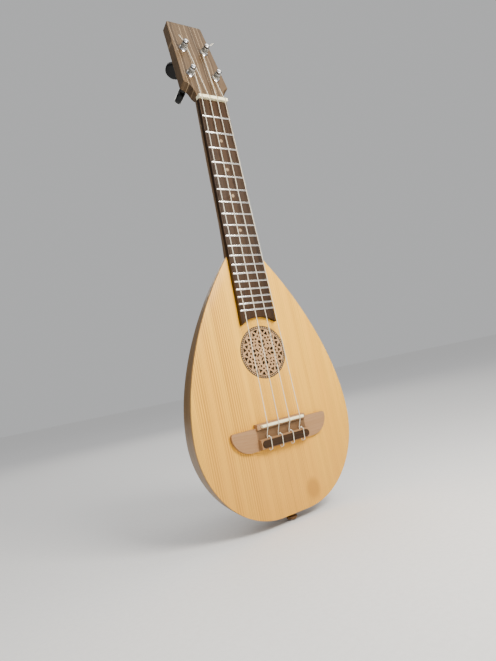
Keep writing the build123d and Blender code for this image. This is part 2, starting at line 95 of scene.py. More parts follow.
# --- grids and meshes ---
def mesh_piece(name, grid, wrap_rows=False, wrap_cols=False, caps=True, uv=None, sharp=35.0):
    """A mesh over a grid of points, shape (rows, cols, 3): vertex (i, j) joins (i+1, j) and (i, j+1)."""
    rows, cols = grid.shape[:2]
    index = np.arange(rows * cols).reshape(rows, cols)
    if wrap_rows:
        index = np.vstack([index, index[:1]])
    if wrap_cols:
        index = np.hstack([index, index[:, :1]])
    a, b = index[:-1, :-1].ravel(), index[:-1, 1:].ravel()
    c, d = index[1:, 1:].ravel(), index[1:, :-1].ravel()
    faces = np.stack([a, b, c, d], 1).tolist()
    if caps and not wrap_rows:
        faces += [list(range(cols))[::-1], list(range((rows - 1) * cols, rows * cols))]
    mesh = bpy.data.meshes.new(name)
    mesh.from_pydata(grid.reshape(-1, 3).tolist(), [], faces)
    if uv is not None:
        layer = mesh.uv_layers.new(name="along")
        corner = np.zeros(len(mesh.loops), np.int32)
        mesh.loops.foreach_get("vertex_index", corner)
        layer.data.foreach_set("uv", uv.reshape(-1, 2)[corner].astype(np.float32).ravel())
    return close_up(name, mesh, sharp)


def close_up(name, mesh, sharp):
    """Merge doubled points, turn every face outwards, smooth what is rounder than `sharp` degrees."""
    work = bmesh.new()
    work.from_mesh(mesh)
    bmesh.ops.remove_doubles(work, verts=work.verts, dist=1e-6)
    bmesh.ops.recalc_face_normals(work, faces=work.faces)
    work.to_mesh(mesh)
    work.free()
    mesh.polygons.foreach_set("use_smooth", [True] * len(mesh.polygons))
    mesh.set_sharp_from_angle(angle=radians(sharp))
    piece = bpy.data.objects.new(name, mesh)
    bpy.context.scene.collection.objects.link(piece)
    return piece


def bezier(points, count):
    """Cubic (1-t)^3 a + 3(1-t)^2 t b + 3(1-t) t^2 c + t^3 d at `count` even values of t."""
    t = np.linspace(0, 1, count)[:, None]
    a, b, c, d = np.asarray(points, float)
    return (1 - t) ** 3 * a + 3 * (1 - t) ** 2 * t * b + 3 * (1 - t) * t * t * c + t ** 3 * d


def half_outline(share, inset, count=48):
    """Body edge as (distance, z) from the neck joint to the flat of the tail, drawn `share` as wide."""
    slope = atan(tan(FLARE) * share)
    wide = HALF_W * share - inset
    z_wide = Z_TAIL + 96.4 * MM
    reach = 61.5 * MM
    upper = [
        (JOINT_W * share - inset / cos(slope), Z_JOINT),
        ((JOINT_W + reach * sin(FLARE)) * share - inset * cos(slope), Z_JOINT - 47 * MM - inset * sin(slope)),
        (wide, z_wide + 69 * MM),
        (wide, z_wide),
    ]
    lower = [
        (wide, z_wide),
        (wide, z_wide - 52.5 * MM + 0.35 * inset),
        ((FLAT + 48.5 * MM) * share - 0.35 * inset, Z_TAIL + inset),
        (FLAT * share, Z_TAIL + inset),
    ]
    return np.vstack([bezier(upper, count), bezier(lower, count)[1:]])


def spin_profile(profile, origin, axis, count=48):
    """A lathe: point (r, h) of the profile goes to origin + h axis + r (cos a X + sin a Y)."""
    axis = Vector(axis).normalized()
    side = axis.orthogonal().normalized()
    other = axis.cross(side)
    r, h = np.asarray(profile, float).T
    turn = np.linspace(0, 2 * pi, count, endpoint=False)
    ring = np.outer(np.cos(turn), side) + np.outer(np.sin(turn), other)
    return np.asarray(origin) + h[:, None, None] * np.asarray(axis) + r[:, None, None] * ring[None]


def tube(path, radius, upright, sides=12):
    """A round section along a path: path + r (cos a N + sin a B), N the upright made square to it, B = T x N."""
    run = np.gradient(path, axis=0)
    run /= np.linalg.norm(run, axis=1)[:, None]
    up = np.asarray(upright, float)
    normal = up - run * (run @ up)[:, None]
    normal /= np.linalg.norm(normal, axis=1)[:, None]
    other = np.cross(run, normal)
    turn = np.linspace(0, 2 * pi, sides, endpoint=False)
    ring = np.cos(turn)[None, :, None] * normal[:, None] + np.sin(turn)[None, :, None] * other[:, None]
    return path[:, None] + radius * ring


def rounded(profile, radius, steps=4):
    """Each inner corner of an open profile becomes a quadratic curve that leaves it `radius` back."""
    points = np.asarray(profile, float)
    out = [points[0]]
    for before, corner, after in zip(points[:-2], points[1:-1], points[2:]):
        back, on = before - corner, after - corner
        cut = min(radius, 0.45 * np.hypot(*back), 0.45 * np.hypot(*on))
        start, end = corner + back / np.hypot(*back) * cut, corner + on / np.hypot(*on) * cut
        t = np.linspace(0, 1, steps)[:, None]
        out.extend((1 - t) ** 2 * start + 2 * (1 - t) * t * corner + t * t * end)
    out.append(points[-1])
    return np.array(out)


def softened(name, width=0.35 * MM, segments=2, angle=32.0):
    """A copy of a CAD node's mesh with its corners merged and eased by a small bevel."""
    mesh = frame["nodes"][name].data.copy()
    mesh.name = name + "_eased"
    mesh.materials.clear()
    work = bmesh.new()
    work.from_mesh(mesh)
    bmesh.ops.remove_doubles(work, verts=work.verts, dist=2e-6)
    bmesh.ops.dissolve_limit(work, angle_limit=radians(0.6), verts=work.verts, edges=work.edges)
    work.to_mesh(mesh)
    work.free()
    mesh.polygons.foreach_set("use_smooth", [True] * len(mesh.polygons))
    mesh.set_sharp_from_angle(angle=radians(angle))
    piece = bpy.data.objects.new(name + "_eased", mesh)
    bpy.context.scene.collection.objects.link(piece)
    ease = piece.modifiers.new("eased edges", "BEVEL")
    ease.width = width
    ease.segments = segments
    ease.limit_method = "ANGLE"
    ease.angle_limit = radians(angle)
    ease.harden_normals = False
    return piece


def place(piece, body, slot, material, *nodes):
    """Material, body, record slot (not used) and the CAD nodes that the piece stands for."""
    piece.data.materials.clear()
    piece.data.materials.append(material)
    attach(piece, body)
    if nodes:
        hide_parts(*nodes)
    return piece


def dress(material, *names):
    """Give CAD nodes that stay a finished material."""
    for name in names:
        mesh = frame["nodes"][name].data
        mesh.materials.clear()
        mesh.materials.append(material)


# --- shader building ---
def new_group(name, inputs, outputs):
    """An empty shader node group with named sockets."""
    group = bpy.data.node_groups.new(name, "ShaderNodeTree")
    for kind, label, value in inputs:
        socket = group.interface.new_socket(label, in_out="INPUT", socket_type="NodeSocket" + kind)
        if value is not None:
            socket.default_value = value
    for kind, label in outputs:
        group.interface.new_socket(label, in_out="OUTPUT", socket_type="NodeSocket" + kind)
    return group, group.nodes.new("NodeGroupInput"), group.nodes.new("NodeGroupOutput")


def node(tree, kind, settings=None, **inputs):
    """A node of that kind; inputs are sockets by number or name, each a value or a link."""
    made = tree.nodes.new("ShaderNode" + kind)
    for key, value in (settings or {}).items():
        setattr(made, key, value)
    for key, value in inputs.items():
        socket = made.inputs[int(key[1:]) if key[0] == "i" and key[1:].isdigit() else key]
        if isinstance(value, bpy.types.NodeSocket):
            tree.links.new(value, socket)
        else:
            socket.default_value = value
    return made


def math(tree, operation, a, b=0.0, c=0.0):
    return node(tree, "Math", {"operation": operation}, i0=a, i1=b, i2=c).outputs[0]


def scaled(tree, vector, x, y, z):
    """Vector times (x, y, z)."""
    return node(tree, "VectorMath", {"operation": "MULTIPLY"}, i0=vector, i1=(x, y, z)).outputs[0]


def noise(tree, vector, scale=1.0, detail=2.0, rough=0.5):
    return node(tree, "TexNoise", Vector=vector, Scale=scale, Detail=detail, Roughness=rough).outputs["Fac"]


def blend_colour(tree, factor, a, b):
    made = node(tree, "Mix", {"data_type": "RGBA"})
    for number, value in ((0, factor), (6, a), (7, b)):
        if isinstance(value, bpy.types.NodeSocket):
            tree.links.new(value, made.inputs[number])
        else:
            made.inputs[number].default_value = value
    return made.outputs[2]


def smooth(tree, value, low, high):
    """0 below low, 1 above high, smooth between."""
    made = node(tree, "MapRange", {"interpolation_type": "SMOOTHSTEP"}, Value=value)
    made.inputs["From Min"].default_value = low
    made.inputs["From Max"].default_value = high
    return made.outputs[0]


def build_timber_group():
    """Sawn wood with its grain along z: growth rings across x, broad streaks, fibres and pores."""
    inputs = [
        ("Vector", "Position", None),
        ("Color", "Pale", (0.8, 0.6, 0.4, 1)),
        ("Color", "Dark", (0.5, 0.3, 0.2, 1)),
        ("Color", "Streak", (0.6, 0.4, 0.3, 1)),
        ("Float", "Ring spacing", 0.0014),
        ("Float", "Ring strength", 0.6),
        ("Float", "Streak strength", 0.5),
        ("Float", "Pore strength", 0.3),
        ("Float", "Waviness", 1.0),
        ("Float", "Polish", 0.4),
    ]
    outputs = [("Color", "Color"), ("Float", "Roughness"), ("Float", "Height")]
    group, into, out = new_group("timber", inputs, outputs)
    pos = into.outputs["Position"]
    drift = noise(group, scaled(group, pos, 18, 18, 5), detail=2.0)
    sway = math(group, "MULTIPLY", math(group, "SUBTRACT", drift, 0.5), into.outputs["Waviness"])
    parts = node(group, "SeparateXYZ", Vector=pos)
    across = math(group, "DIVIDE", parts.outputs[0], into.outputs["Ring spacing"])
    depth = math(group, "DIVIDE", parts.outputs[1], math(group, "MULTIPLY", into.outputs["Ring spacing"], 6.0))
    rings = math(group, "ADD", math(group, "ADD", across, depth), math(group, "MULTIPLY", sway, 9.0))
    uneven = noise(group, scaled(group, pos, 160, 30, 2), detail=3.0)
    rings = math(group, "ADD", rings, math(group, "MULTIPLY", uneven, 2.5))
    late = math(group, "POWER", math(group, "FRACT", rings), 2.2)
    late = math(group, "MULTIPLY", late, smooth(group, uneven, 0.2, 0.75))
    late = math(group, "MULTIPLY", late, into.outputs["Ring strength"])
    colour = blend_colour(group, late, into.outputs["Pale"], into.outputs["Dark"])
    broad = noise(group, scaled(group, pos, 45, 20, 3.2), detail=4.0, rough=0.6)
    broad = math(group, "MULTIPLY", smooth(group, broad, 0.38, 0.72), into.outputs["Streak strength"])
    colour = blend_colour(group, broad, colour, into.outputs["Streak"])
    fibre = noise(group, scaled(group, pos, 2600, 2600, 70), detail=2.0)
    hairs = math(group, "MULTIPLY", smooth(group, fibre, 0.35, 0.8), 0.16)
    colour = blend_colour(group, hairs, colour, into.outputs["Dark"])
    pore = smooth(group, noise(group, scaled(group, pos, 1500, 1500, 55), detail=1.0), 0.62, 0.72)
    pore = math(group, "MULTIPLY", pore, into.outputs["Pore strength"])
    colour = blend_colour(group, pore, colour, into.outputs["Dark"])
    sunk = math(group, "ADD", pore, math(group, "MULTIPLY", late, 0.3))
    height = math(group, "SUBTRACT", math(group, "MULTIPLY", fibre, 0.35), sunk)
    rough = math(group, "ADD", into.outputs["Polish"], math(group, "MULTIPLY", math(group, "ADD", pore, fibre), 0.12))
    group.links.new(colour, out.inputs["Color"])
    group.links.new(rough, out.inputs["Roughness"])
    group.links.new(height, out.inputs["Height"])
    return group


def build_handling_group():
    """Fine hairline scratches and a faint cloudiness from handling, for metal, bone and plastic."""
    inputs = [("Vector", "Position", None), ("Float", "Polish", 0.2), ("Float", "Wear", 0.3)]
    outputs = [("Float", "Roughness"), ("Float", "Height"), ("Float", "Cloud")]
    group, into, out = new_group("handling", inputs, outputs)
    pos = into.outputs["Position"]
    cloud = noise(group, scaled(group, pos, 260, 260, 260), detail=4.0, rough=0.6)
    line = noise(group, scaled(group, pos, 3000, 700, 9000), detail=1.0)
    scratch = math(group, "MULTIPLY", smooth(group, line, 0.62, 0.8), into.outputs["Wear"])
    smear = math(group, "MULTIPLY", cloud, math(group, "MULTIPLY", into.outputs["Wear"], 0.5))
    marks = math(group, "ADD", smear, math(group, "MULTIPLY", scratch, 0.4))
    rough = math(group, "ADD", into.outputs["Polish"], marks)
    group.links.new(rough, out.inputs["Roughness"])
    group.links.new(scratch, out.inputs["Height"])
    group.links.new(cloud, out.inputs["Cloud"])
    return group


def new_material(name):
    material = bpy.data.materials.new(name)
    material.use_nodes = True
    tree = material.node_tree
    return material, tree, tree.nodes["Principled BSDF"]


def use_group(tree, name, **values):
    made = tree.nodes.new("ShaderNodeGroup")
    made.node_tree = bpy.data.node_groups[name]
    for label, value in values.items():
        socket = made.inputs[label.replace("_", " ")]
        if isinstance(value, bpy.types.NodeSocket):
            tree.links.new(value, socket)
        else:
            socket.default_value = value
    return made


def bump(tree, shader, height, strength, distance):
    made = node(tree, "Bump", Strength=strength, Distance=distance, Height=height)
    tree.links.new(made.outputs[0], shader.inputs["Normal"])


def colour4(values):
    return (*values, 1.0)


def wood(name, pale, dark, streak, position=None, coat=0.0, tone=None, relief=0.00006, **grain):
    """A timber finish. `position` builds the grain's coordinates in the tree, `tone` may retint the colour."""
    material, tree, shader = new_material(name)
    where = position(tree) if position else node(tree, "TexCoord").outputs["Object"]
    tones = dict(Pale=colour4(pale), Dark=colour4(dark), Streak=colour4(streak))
    timber = use_group(tree, "timber", Position=where, **tones, **grain)
    colour = timber.outputs["Color"]
    if tone:
        colour = tone(tree, colour)
    tree.links.new(colour, shader.inputs["Base Color"])
    tree.links.new(timber.outputs["Roughness"], shader.inputs["Roughness"])
    shader.inputs["Coat Weight"].default_value = coat
    shader.inputs["Coat Roughness"].default_value = 0.18
    shader.inputs["Specular IOR Level"].default_value = 0.2
    bump(tree, shader, timber.outputs["Height"], 0.5, relief)
    return material


def polished(name, colour, polish, wear=0.3, metallic=0.0, mottle=None, coat=0.0, relief=0.00002, gloss=0.5):
    """Metal, bone or plastic: one colour, mottled if asked, with handling marks."""
    material, tree, shader = new_material(name)
    where = node(tree, "TexCoord").outputs["Object"]
    marks = use_group(tree, "handling", Position=where, Polish=polish, Wear=wear)
    if mottle:
        cloud = smooth(tree, marks.outputs["Cloud"], 0.35, 0.7)
        shade = blend_colour(tree, cloud, colour4(colour), colour4(mottle))
        tree.links.new(shade, shader.inputs["Base Color"])
    else:
        shader.inputs["Base Color"].default_value = colour4(colour)
    tree.links.new(marks.outputs["Roughness"], shader.inputs["Roughness"])
    shader.inputs["Metallic"].default_value = metallic
    shader.inputs["Specular IOR Level"].default_value = gloss
    shader.inputs["Coat Weight"].default_value = coat
    shader.inputs["Coat Roughness"].default_value = 0.05
    bump(tree, shader, marks.outputs["Height"], 0.25, relief)
    return material


# --- grain coordinates ---
def book_matched(tree):
    """Two halves opened like a book: x becomes its distance from the centre seam."""
    parts = node(tree, "SeparateXYZ", Vector=node(tree, "TexCoord").outputs["Object"])
    mirrored = math(tree, "ABSOLUTE", parts.outputs[0])
    return node(tree, "CombineXYZ", X=mirrored, Y=parts.outputs[1], Z=parts.outputs[2]).outputs[0]


def along_headstock(tree):
    """Object space turned by the headstock's tilt, so the grain runs up its face."""
    here = node(tree, "TexCoord").outputs["Object"]
    turned = node(tree, "Mapping", Vector=here)
    turned.inputs["Rotation"].default_value = (TILT, 0, 0)
    return turned.outputs[0]


def across_bridge(tree):
    """Grain along x, for pieces that lie across the front."""
    parts = node(tree, "SeparateXYZ", Vector=node(tree, "TexCoord").outputs["Object"])
    return node(tree, "CombineXYZ", X=parts.outputs[2], Y=parts.outputs[1], Z=parts.outputs[0]).outputs[0]


def along_rib(tree):
    """The rib's own map: u across it and v along it, both in metres."""
    flat = node(tree, "SeparateXYZ", Vector=node(tree, "UVMap", {"uv_map": "along"}).outputs[0])
    return node(tree, "CombineXYZ", X=flat.outputs[0], Y=0.0, Z=flat.outputs[1]).outputs[0]


# --- retints ---
def spruce_tone(tree, colour):
    """Coarser rings on the bass side, an amber patch low on the treble side, a centre seam, and painted shade on the
    tail and on the rim's sideways edges.
    """
    here = node(tree, "TexCoord").outputs["Object"]
    parts = node(tree, "SeparateXYZ", Vector=here)
    x, z = parts.outputs[0], parts.outputs[2]
    sway = math(tree, "MULTIPLY", noise(tree, scaled(tree, here, 24, 0, 5), detail=2.0), 0.0045)
    coarse = math(tree, "FRACT", math(tree, "DIVIDE", math(tree, "ADD", x, sway), 0.0027))
    line = math(tree, "MULTIPLY", smooth(tree, coarse, 0.30, 0.62), smooth(tree, coarse, 1.0, 0.80))
    group = smooth(tree, noise(tree, scaled(tree, here, 55, 0, 1.5), detail=1.0), 0.42, 0.62)
    bass = math(tree, "MAXIMUM", smooth(tree, x, -0.01, -0.05), 0.22)
    line = math(tree, "MULTIPLY", math(tree, "MULTIPLY", line, group), bass)
    colour = blend_colour(tree, math(tree, "MULTIPLY", line, 0.62), colour, (0.36, 0.13, 0.012, 1))
    seam = smooth(tree, math(tree, "ABSOLUTE", x), 0.0005, 0.0001)
    colour = blend_colour(tree, math(tree, "MULTIPLY", seam, 0.4), colour, (0.30, 0.13, 0.03, 1))
    spot = scaled(tree, here, 1.0, 0.0, 0.8)
    knot = node(tree, "VectorMath", {"operation": "DISTANCE"}, i0=spot, i1=(0.0285, 0, 0.0190))
    patch = smooth(tree, knot.outputs["Value"], 0.0125, 0.005)
    colour = blend_colour(tree, math(tree, "MULTIPLY", patch, 0.8), colour, (0.40, 0.18, 0.012, 1))
    # painted shade: the front is darkened towards the tail, where less light falls on it
    low = smooth(tree, z, 0.2, 0.0)
    colour = blend_colour(tree, math(tree, "MULTIPLY", low, 0.42), colour, (0.48, 0.22, 0.045, 1))
    # painted shade: edges that turn away from the front take a browner, darker shade colour
    facing = node(tree, "SeparateXYZ", Vector=node(tree, "NewGeometry").outputs["True Normal"])
    rim = smooth(tree, math(tree, "ABSOLUTE", facing.outputs[1]), 0.95, 0.5)
    return blend_colour(tree, math(tree, "MULTIPLY", rim, 0.85), colour, (0.33, 0.20, 0.10, 1))


def rib_tone(tree, colour):
    """A dark glue line along both edges of each rib."""
    flat = node(tree, "SeparateXYZ", Vector=node(tree, "UVMap", {"uv_map": "edge"}).outputs[0])
    line = smooth(tree, flat.outputs[0], 0.0002, 0.0005)
    glue = math(tree, "MULTIPLY", math(tree, "SUBTRACT", 1.0, line), 0.75)
    return blend_colour(tree, glue, colour, (0.03, 0.017, 0.01, 1))


def rose_tone(tree, colour):
    """Burnt walls darkened further by painted shade in the openings, and a border of small pale beads between two
    dark scribed rings, in polar coordinates.
    """
    facing = node(tree, "SeparateXYZ", Vector=node(tree, "NewGeometry").outputs["True Normal"])
    # burnt cut walls, darkened further as painted shade so that the openings read black
    wall = math(tree, "SUBTRACT", 1.0, smooth(tree, math(tree, "ABSOLUTE", facing.outputs[1]), 0.3, 0.9))
    here = node(tree, "SeparateXYZ", Vector=node(tree, "TexCoord").outputs["Object"])
    x, z = here.outputs[0], math(tree, "SUBTRACT", here.outputs[2], ROSE_Z)
    radius = math(tree, "SQRT", math(tree, "ADD", math(tree, "MULTIPLY", x, x), math(tree, "MULTIPLY", z, z)))
    step = 2 * pi / BEADS
    turn = math(tree, "DIVIDE", math(tree, "ARCTAN2", x, z), step)
    swing = math(tree, "MULTIPLY", math(tree, "SUBTRACT", turn, math(tree, "ROUND", turn)), step * BEAD_R)
    rise = math(tree, "SUBTRACT", radius, BEAD_R)
    squares = math(tree, "ADD", math(tree, "MULTIPLY", swing, swing), math(tree, "MULTIPLY", rise, rise))
    away = math(tree, "SQRT", squares)
    ring = smooth(tree, math(tree, "ABSOLUTE", rise), BEAD_BAND, BEAD_BAND * 0.9)
    gap = math(tree, "MULTIPLY", ring, smooth(tree, away, 0.0005, 0.0008))
    dark = (0.022, 0.011, 0.005, 1)
    colour = blend_colour(tree, ring, colour, (0.50, 0.33, 0.17, 1))
    colour = blend_colour(tree, gap, colour, dark)
    for scribed in (BEAD_R - BEAD_BAND, BEAD_R + BEAD_BAND):
        line = smooth(tree, math(tree, "ABSOLUTE", math(tree, "SUBTRACT", radius, scribed)), 0.00042, 0.00022)
        colour = blend_colour(tree, line, colour, dark)
    return blend_colour(tree, math(tree, "MULTIPLY", wall, 0.9), colour, (0.012, 0.005, 0.002, 1))


def painted_trough_shade(tree, colour):
    """The trough between the saddle and the tie block, and the ends of the centre block, get a painted shade."""
    here = node(tree, "SeparateXYZ", Vector=node(tree, "TexCoord").outputs["Object"])
    low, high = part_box("saddle")
    side = smooth(tree, math(tree, "ABSOLUTE", here.outputs[0]), high.x + 4.6 * MM, high.x + 3.6 * MM)
    under = smooth(tree, here.outputs[2], low.z - 0.5 * MM, low.z - 2.5 * MM)
    over = smooth(tree, here.outputs[2], low.z - 13.6 * MM, low.z - 11.0 * MM)
    deep = smooth(tree, here.outputs[1], Y_TOP - 7.2 * MM, Y_TOP - 5.5 * MM)
    # painted shade: darker in the trough below the saddle, where shade falls
    trough_shade = math(tree, "MULTIPLY", math(tree, "MULTIPLY", side, under), math(tree, "MULTIPLY", over, deep))
    return blend_colour(tree, math(tree, "MULTIPLY", trough_shade, 0.72), colour, (0.085, 0.045, 0.020, 1))


def striped_tone(tree, colour):
    """Thin pale lines and broader brown bands up the walnut of the headstock."""
    parts = node(tree, "SeparateXYZ", Vector=along_headstock(tree))
    bend = math(tree, "MULTIPLY", noise(tree, scaled(tree, along_headstock(tree), 6, 6, 14), detail=1.0), 0.010)
    across = node(tree, "CombineXYZ", X=math(tree, "ADD", parts.outputs[0], bend)).outputs[0]
    weave = noise(tree, across, scale=520.0, detail=2.0)
    band = noise(tree, across, scale=150.0, detail=1.0)
    broad = math(tree, "MULTIPLY", smooth(tree, band, 0.48, 0.66), 0.6)
    colour = blend_colour(tree, broad, colour, (0.045, 0.027, 0.014, 1))
    thin = math(tree, "MULTIPLY", smooth(tree, weave, 0.585, 0.65), 0.85)
    return blend_colour(tree, thin, colour, (0.46, 0.33, 0.19, 1))


def make_materials(tint):
    """Every finish, by name."""
    walnut = dict(pale=tint.walnut, dark=(0.07, 0.038, 0.018), streak=(0.17, 0.10, 0.045))
    brown = dict(Ring_spacing=0.0045, Ring_strength=0.55, Streak_strength=0.6, Pore_strength=0.55, Polish=0.34)
    rosewood = dict(pale=tint.rosewood, dark=(0.005, 0.002, 0.001), streak=(0.020, 0.009, 0.003))
    oily = dict(Ring_spacing=0.0024, Ring_strength=0.9, Streak_strength=0.7, Pore_strength=0.8, Polish=0.45)
    return {
        "spruce": wood("satin spruce", tint.spruce, (0.34, 0.12, 0.012), (0.82, 0.37, 0.03), book_matched,
                       0.05, spruce_tone, 0.00003, Ring_spacing=0.00142, Ring_strength=1.0,
                       Streak_strength=0.35, Pore_strength=0.0, Waviness=0.35, Polish=0.36),
        "rose": wood("cut rose wood", tint.rose, (0.20, 0.10, 0.04), (0.29, 0.16, 0.07), None, 0.0, rose_tone,
                     Ring_spacing=0.0022, Ring_strength=0.4, Streak_strength=0.3, Pore_strength=0.25, Polish=0.55),
        "ribs": wood("bowl walnut", position=along_rib, coat=0.12, tone=rib_tone, **walnut, **brown),
        "tail": wood("tail walnut", coat=0.12, **walnut, **brown),
        "neck": wood("neck walnut", coat=0.05, **(walnut | dict(pale=(0.13, 0.072, 0.033))), **brown),
        "headstock": wood("striped walnut", tint.headstock, (0.045, 0.024, 0.011), (0.095, 0.052, 0.024),
                          along_headstock, 0.0, striped_tone, Ring_spacing=0.0016, Ring_strength=0.7,
                          Streak_strength=0.45, Pore_strength=0.5, Waviness=0.5, Polish=0.40),
        "inner": wood("raw spruce", (0.62, 0.44, 0.26), (0.42, 0.26, 0.13), (0.52, 0.35, 0.2),
                      Ring_spacing=0.002, Polish=0.7),
        "fingerboard": wood("oiled rosewood", coat=0.0, **rosewood, **oily),
        "cap": wood("rosewood cap", position=across_bridge, coat=0.1, **rosewood, **oily),
        "bridge": wood("satin pear", tint.bridge, (0.19, 0.085, 0.03), (0.27, 0.13, 0.05), across_bridge, 0.0,
                       painted_trough_shade, Ring_spacing=0.0028, Ring_strength=0.35, Streak_strength=0.4,
                       Pore_strength=0.35, Polish=0.42),
        "pin": wood("boxwood", (0.16, 0.08, 0.026), (0.06, 0.025, 0.008), (0.11, 0.05, 0.016), coat=0.2,
                    Ring_spacing=0.0012),
        "bone": polished("bone", (0.98, 0.93, 0.66), 0.28, 0.35, mottle=(0.93, 0.84, 0.48)),
        "inlay": polished("pale inlay", (0.27, 0.17, 0.075), 0.35, 0.3, mottle=(0.2, 0.12, 0.05)),
        "fret wire": polished("fret wire", (0.86, 0.84, 0.80), 0.17, 0.3, metallic=1.0),
        "chrome": polished("polished chrome", (0.74, 0.74, 0.75), 0.05, 0.15, metallic=1.0),
        # painted shade: a near-black finish for the band under each tuner cap
        "groove": polished("painted groove shade", (0.008, 0.008, 0.008), 0.35, 0.4, metallic=0.3),
        "button": polished("black button", (0.0015, 0.0015, 0.0016), 0.14, 0.3, gloss=0.3),
        "nylon": polished("clear nylon", (0.72, 0.66, 0.52), 0.25, 0.2),
        "wound nylon": polished("wound nylon", (0.20, 0.19, 0.165), 0.25, 0.2),
    }


def finish(name):
    """The material made for that finish."""
    return MATERIALS[name]


MATERIALS = {}


# --- settings ---
class MandolinTints(bpy.types.PropertyGroup):
    """Base colours that a maker would choose."""

    spruce: FloatVectorProperty(name="Spruce", description="Pale wood of the front", subtype="COLOR",
                                default=(0.95, 0.51, 0.045), min=0, max=1)
    rose: FloatVectorProperty(name="Rose", description="Wood of the pierced rose", subtype="COLOR",
                              default=(0.44, 0.27, 0.135), min=0, max=1)
    walnut: FloatVectorProperty(name="Walnut", description="Wood of the bowl and neck", subtype="COLOR",
                                default=(0.30, 0.185, 0.085), min=0, max=1)
    headstock: FloatVectorProperty(name="Headstock", description="Wood of the headstock", subtype="COLOR",
                                   default=(0.125, 0.078, 0.038), min=0, max=1)
    rosewood: FloatVectorProperty(name="Rosewood", description="Wood of the fingerboard and tie block",
                                  subtype="COLOR", default=(0.044, 0.018, 0.003), min=0, max=1)
    bridge: FloatVectorProperty(name="Bridge", description="Wood of the bridge", subtype="COLOR",
                                default=(0.35, 0.20, 0.095), min=0, max=1)


class MandolinSizes(bpy.types.PropertyGroup):
    """Small sizes that change the finish of the edges."""

    eased: FloatProperty(name="Eased edge", description="Width of the eased edge on worked wood", unit="LENGTH",
                         default=0.45 * MM, min=0.05 * MM, max=1.5 * MM)
    lens: FloatProperty(name="Lens", description="Focal length of the stage camera in millimetres",
                        default=26.6, min=10, max=100)


# --- pieces ---
class MANDOLIN_OT_front(bpy.types.Operator):
    """Soundboard with eased edges and the pierced rose in its hole"""

    bl_idname = "mandolin.front"
    bl_label = "Front and rose"

    def execute(self, context):
        edge = half_outline(1.0, 0.0)
        right = np.vstack([[(0.0, Z_JOINT)], edge, [(0.0, Z_TAIL)]])
        whole = np.vstack([right, (right * (-1, 1))[-2:0:-1]])
        middle = np.array([0.0, ROSE_Z])
        spoke = whole - middle
        bearing = np.arctan2(spoke[:, 0], spoke[:, 1])
        hole = middle + ROSE_R * np.stack([np.sin(bearing), np.cos(bearing)], 1)
        ease = 0.5 * MM
        rings = [(hole, Y_RIM), (hole, Y_TOP + 0.15 * MM)]
        rings += [(hole + (whole - hole) * t, Y_TOP) for t in (0.004, 0.2, 0.5, 0.8)]
        inward = spoke / np.linalg.norm(spoke, axis=1)[:, None]
        for a in np.linspace(0, pi / 2, 5):
            rings.append((whole - inward * ease * (1 - sin(a)), Y_TOP + ease * (1 - cos(a))))
        rings.append((whole, Y_RIM))
        grid = np.stack([np.stack([p[:, 0], np.full(len(p), y), p[:, 1]], 1) for p, y in rings])
        front = mesh_piece("soundboard_plate", grid, wrap_rows=True, wrap_cols=True, caps=False)
        place(front, ROOT, "soundboard", finish("spruce"), "soundboard")
        rose = softened("rose", 0.07 * MM, 1, 40)
        place(rose, ROOT, "rose", finish("rose"), "rose")
        return {"FINISHED"}


class MANDOLIN_OT_bowl(bpy.types.Operator):
    """The bent ribs of the back, the plate at the tail and the wood inside"""

    bl_idname = "mandolin.bowl"
    bl_label = "Bowl"

    def execute(self, context):
        corners = [(cos(pi * k / RIB_COUNT), BOWL_DEPTH * sin(pi * k / RIB_COUNT)) for k in range(RIB_COUNT + 1)]
        for k in range(RIB_COUNT):
            self.rib(k, np.array(corners[k]), np.array(corners[k + 1]))
        dress(finish("tail"), "tail_plate")
        dress(finish("inner"), "tail_block", "neck_block", "lining", "soundboard_bars", "bridge_plate")
        return {"FINISHED"}

    def rib(self, k, first, last):
        """A flat strip bent one way: at each height its edges lie on two rays from the bowl's axis."""
        chord = last - first
        normal = np.array([chord[1], -chord[0]]) / np.hypot(*chord)
        share = float(first @ normal)
        outer, inner = half_outline(share, 0.0), half_outline(share, RIB_T)
        across = np.array([0.0, 0.012, 0.04, 0.5, 0.96, 0.988, 1.0])
        ray = (first[None] + across[:, None] * chord[None]) / share
        crown = 0.12 * MM * np.array([-1.6, -0.5, 0, 0, 0, -0.5, -1.6])
        skin = outer[:, None, 0, None] * ray[None] + crown[None, :, None] * normal
        wall = inner[:, None, 0, None] * ray[None, ::-1]
        plan = np.concatenate([skin, wall], 1)
        height = np.concatenate([np.repeat(edge[:, 1:], len(across), 1) for edge in (outer, inner)], 1)
        grid = np.stack([plan[..., 0], plan[..., 1] + Y_RIM, height], -1)
        run = np.concatenate([[0], np.cumsum(np.linalg.norm(np.diff(outer, axis=0), axis=1))])
        width = np.hypot(*chord) / share * outer[:, :1]
        spread = np.concatenate([across, across[::-1]])[None] * width
        along = np.stack([spread + 0.137 * (k + 1), np.repeat(run[:, None], spread.shape[1], 1) + 0.31 * k], -1)
        piece = mesh_piece(f"bowl_rib_{k + 1}", grid, wrap_cols=True, uv=along)
        self.edge_map(piece, corners=(first, last))
        place(piece, ROOT, "bowl_ribs", finish("ribs"), f"rib_{k + 1}")

    def edge_map(self, piece, corners):
        """Second map: u is how far a corner of a face lies from the nearer joint plane."""
        mesh = piece.data
        points = np.zeros(len(mesh.vertices) * 3)
        mesh.vertices.foreach_get("co", points)
        flat = points.reshape(-1, 3)[:, :2] - (0, Y_RIM)
        gaps = []
        for ray in corners:
            unit = ray / np.hypot(*ray)
            gaps.append(np.abs(flat[:, 0] * unit[1] - flat[:, 1] * unit[0]))
        vertex = np.zeros(len(mesh.loops), np.int32)
        mesh.loops.foreach_get("vertex_index", vertex)
        near = np.minimum(*gaps)[vertex]
        layer = mesh.uv_layers.new(name="edge")
        layer.data.foreach_set("uv", np.stack([near, near], 1).astype(np.float32).ravel())


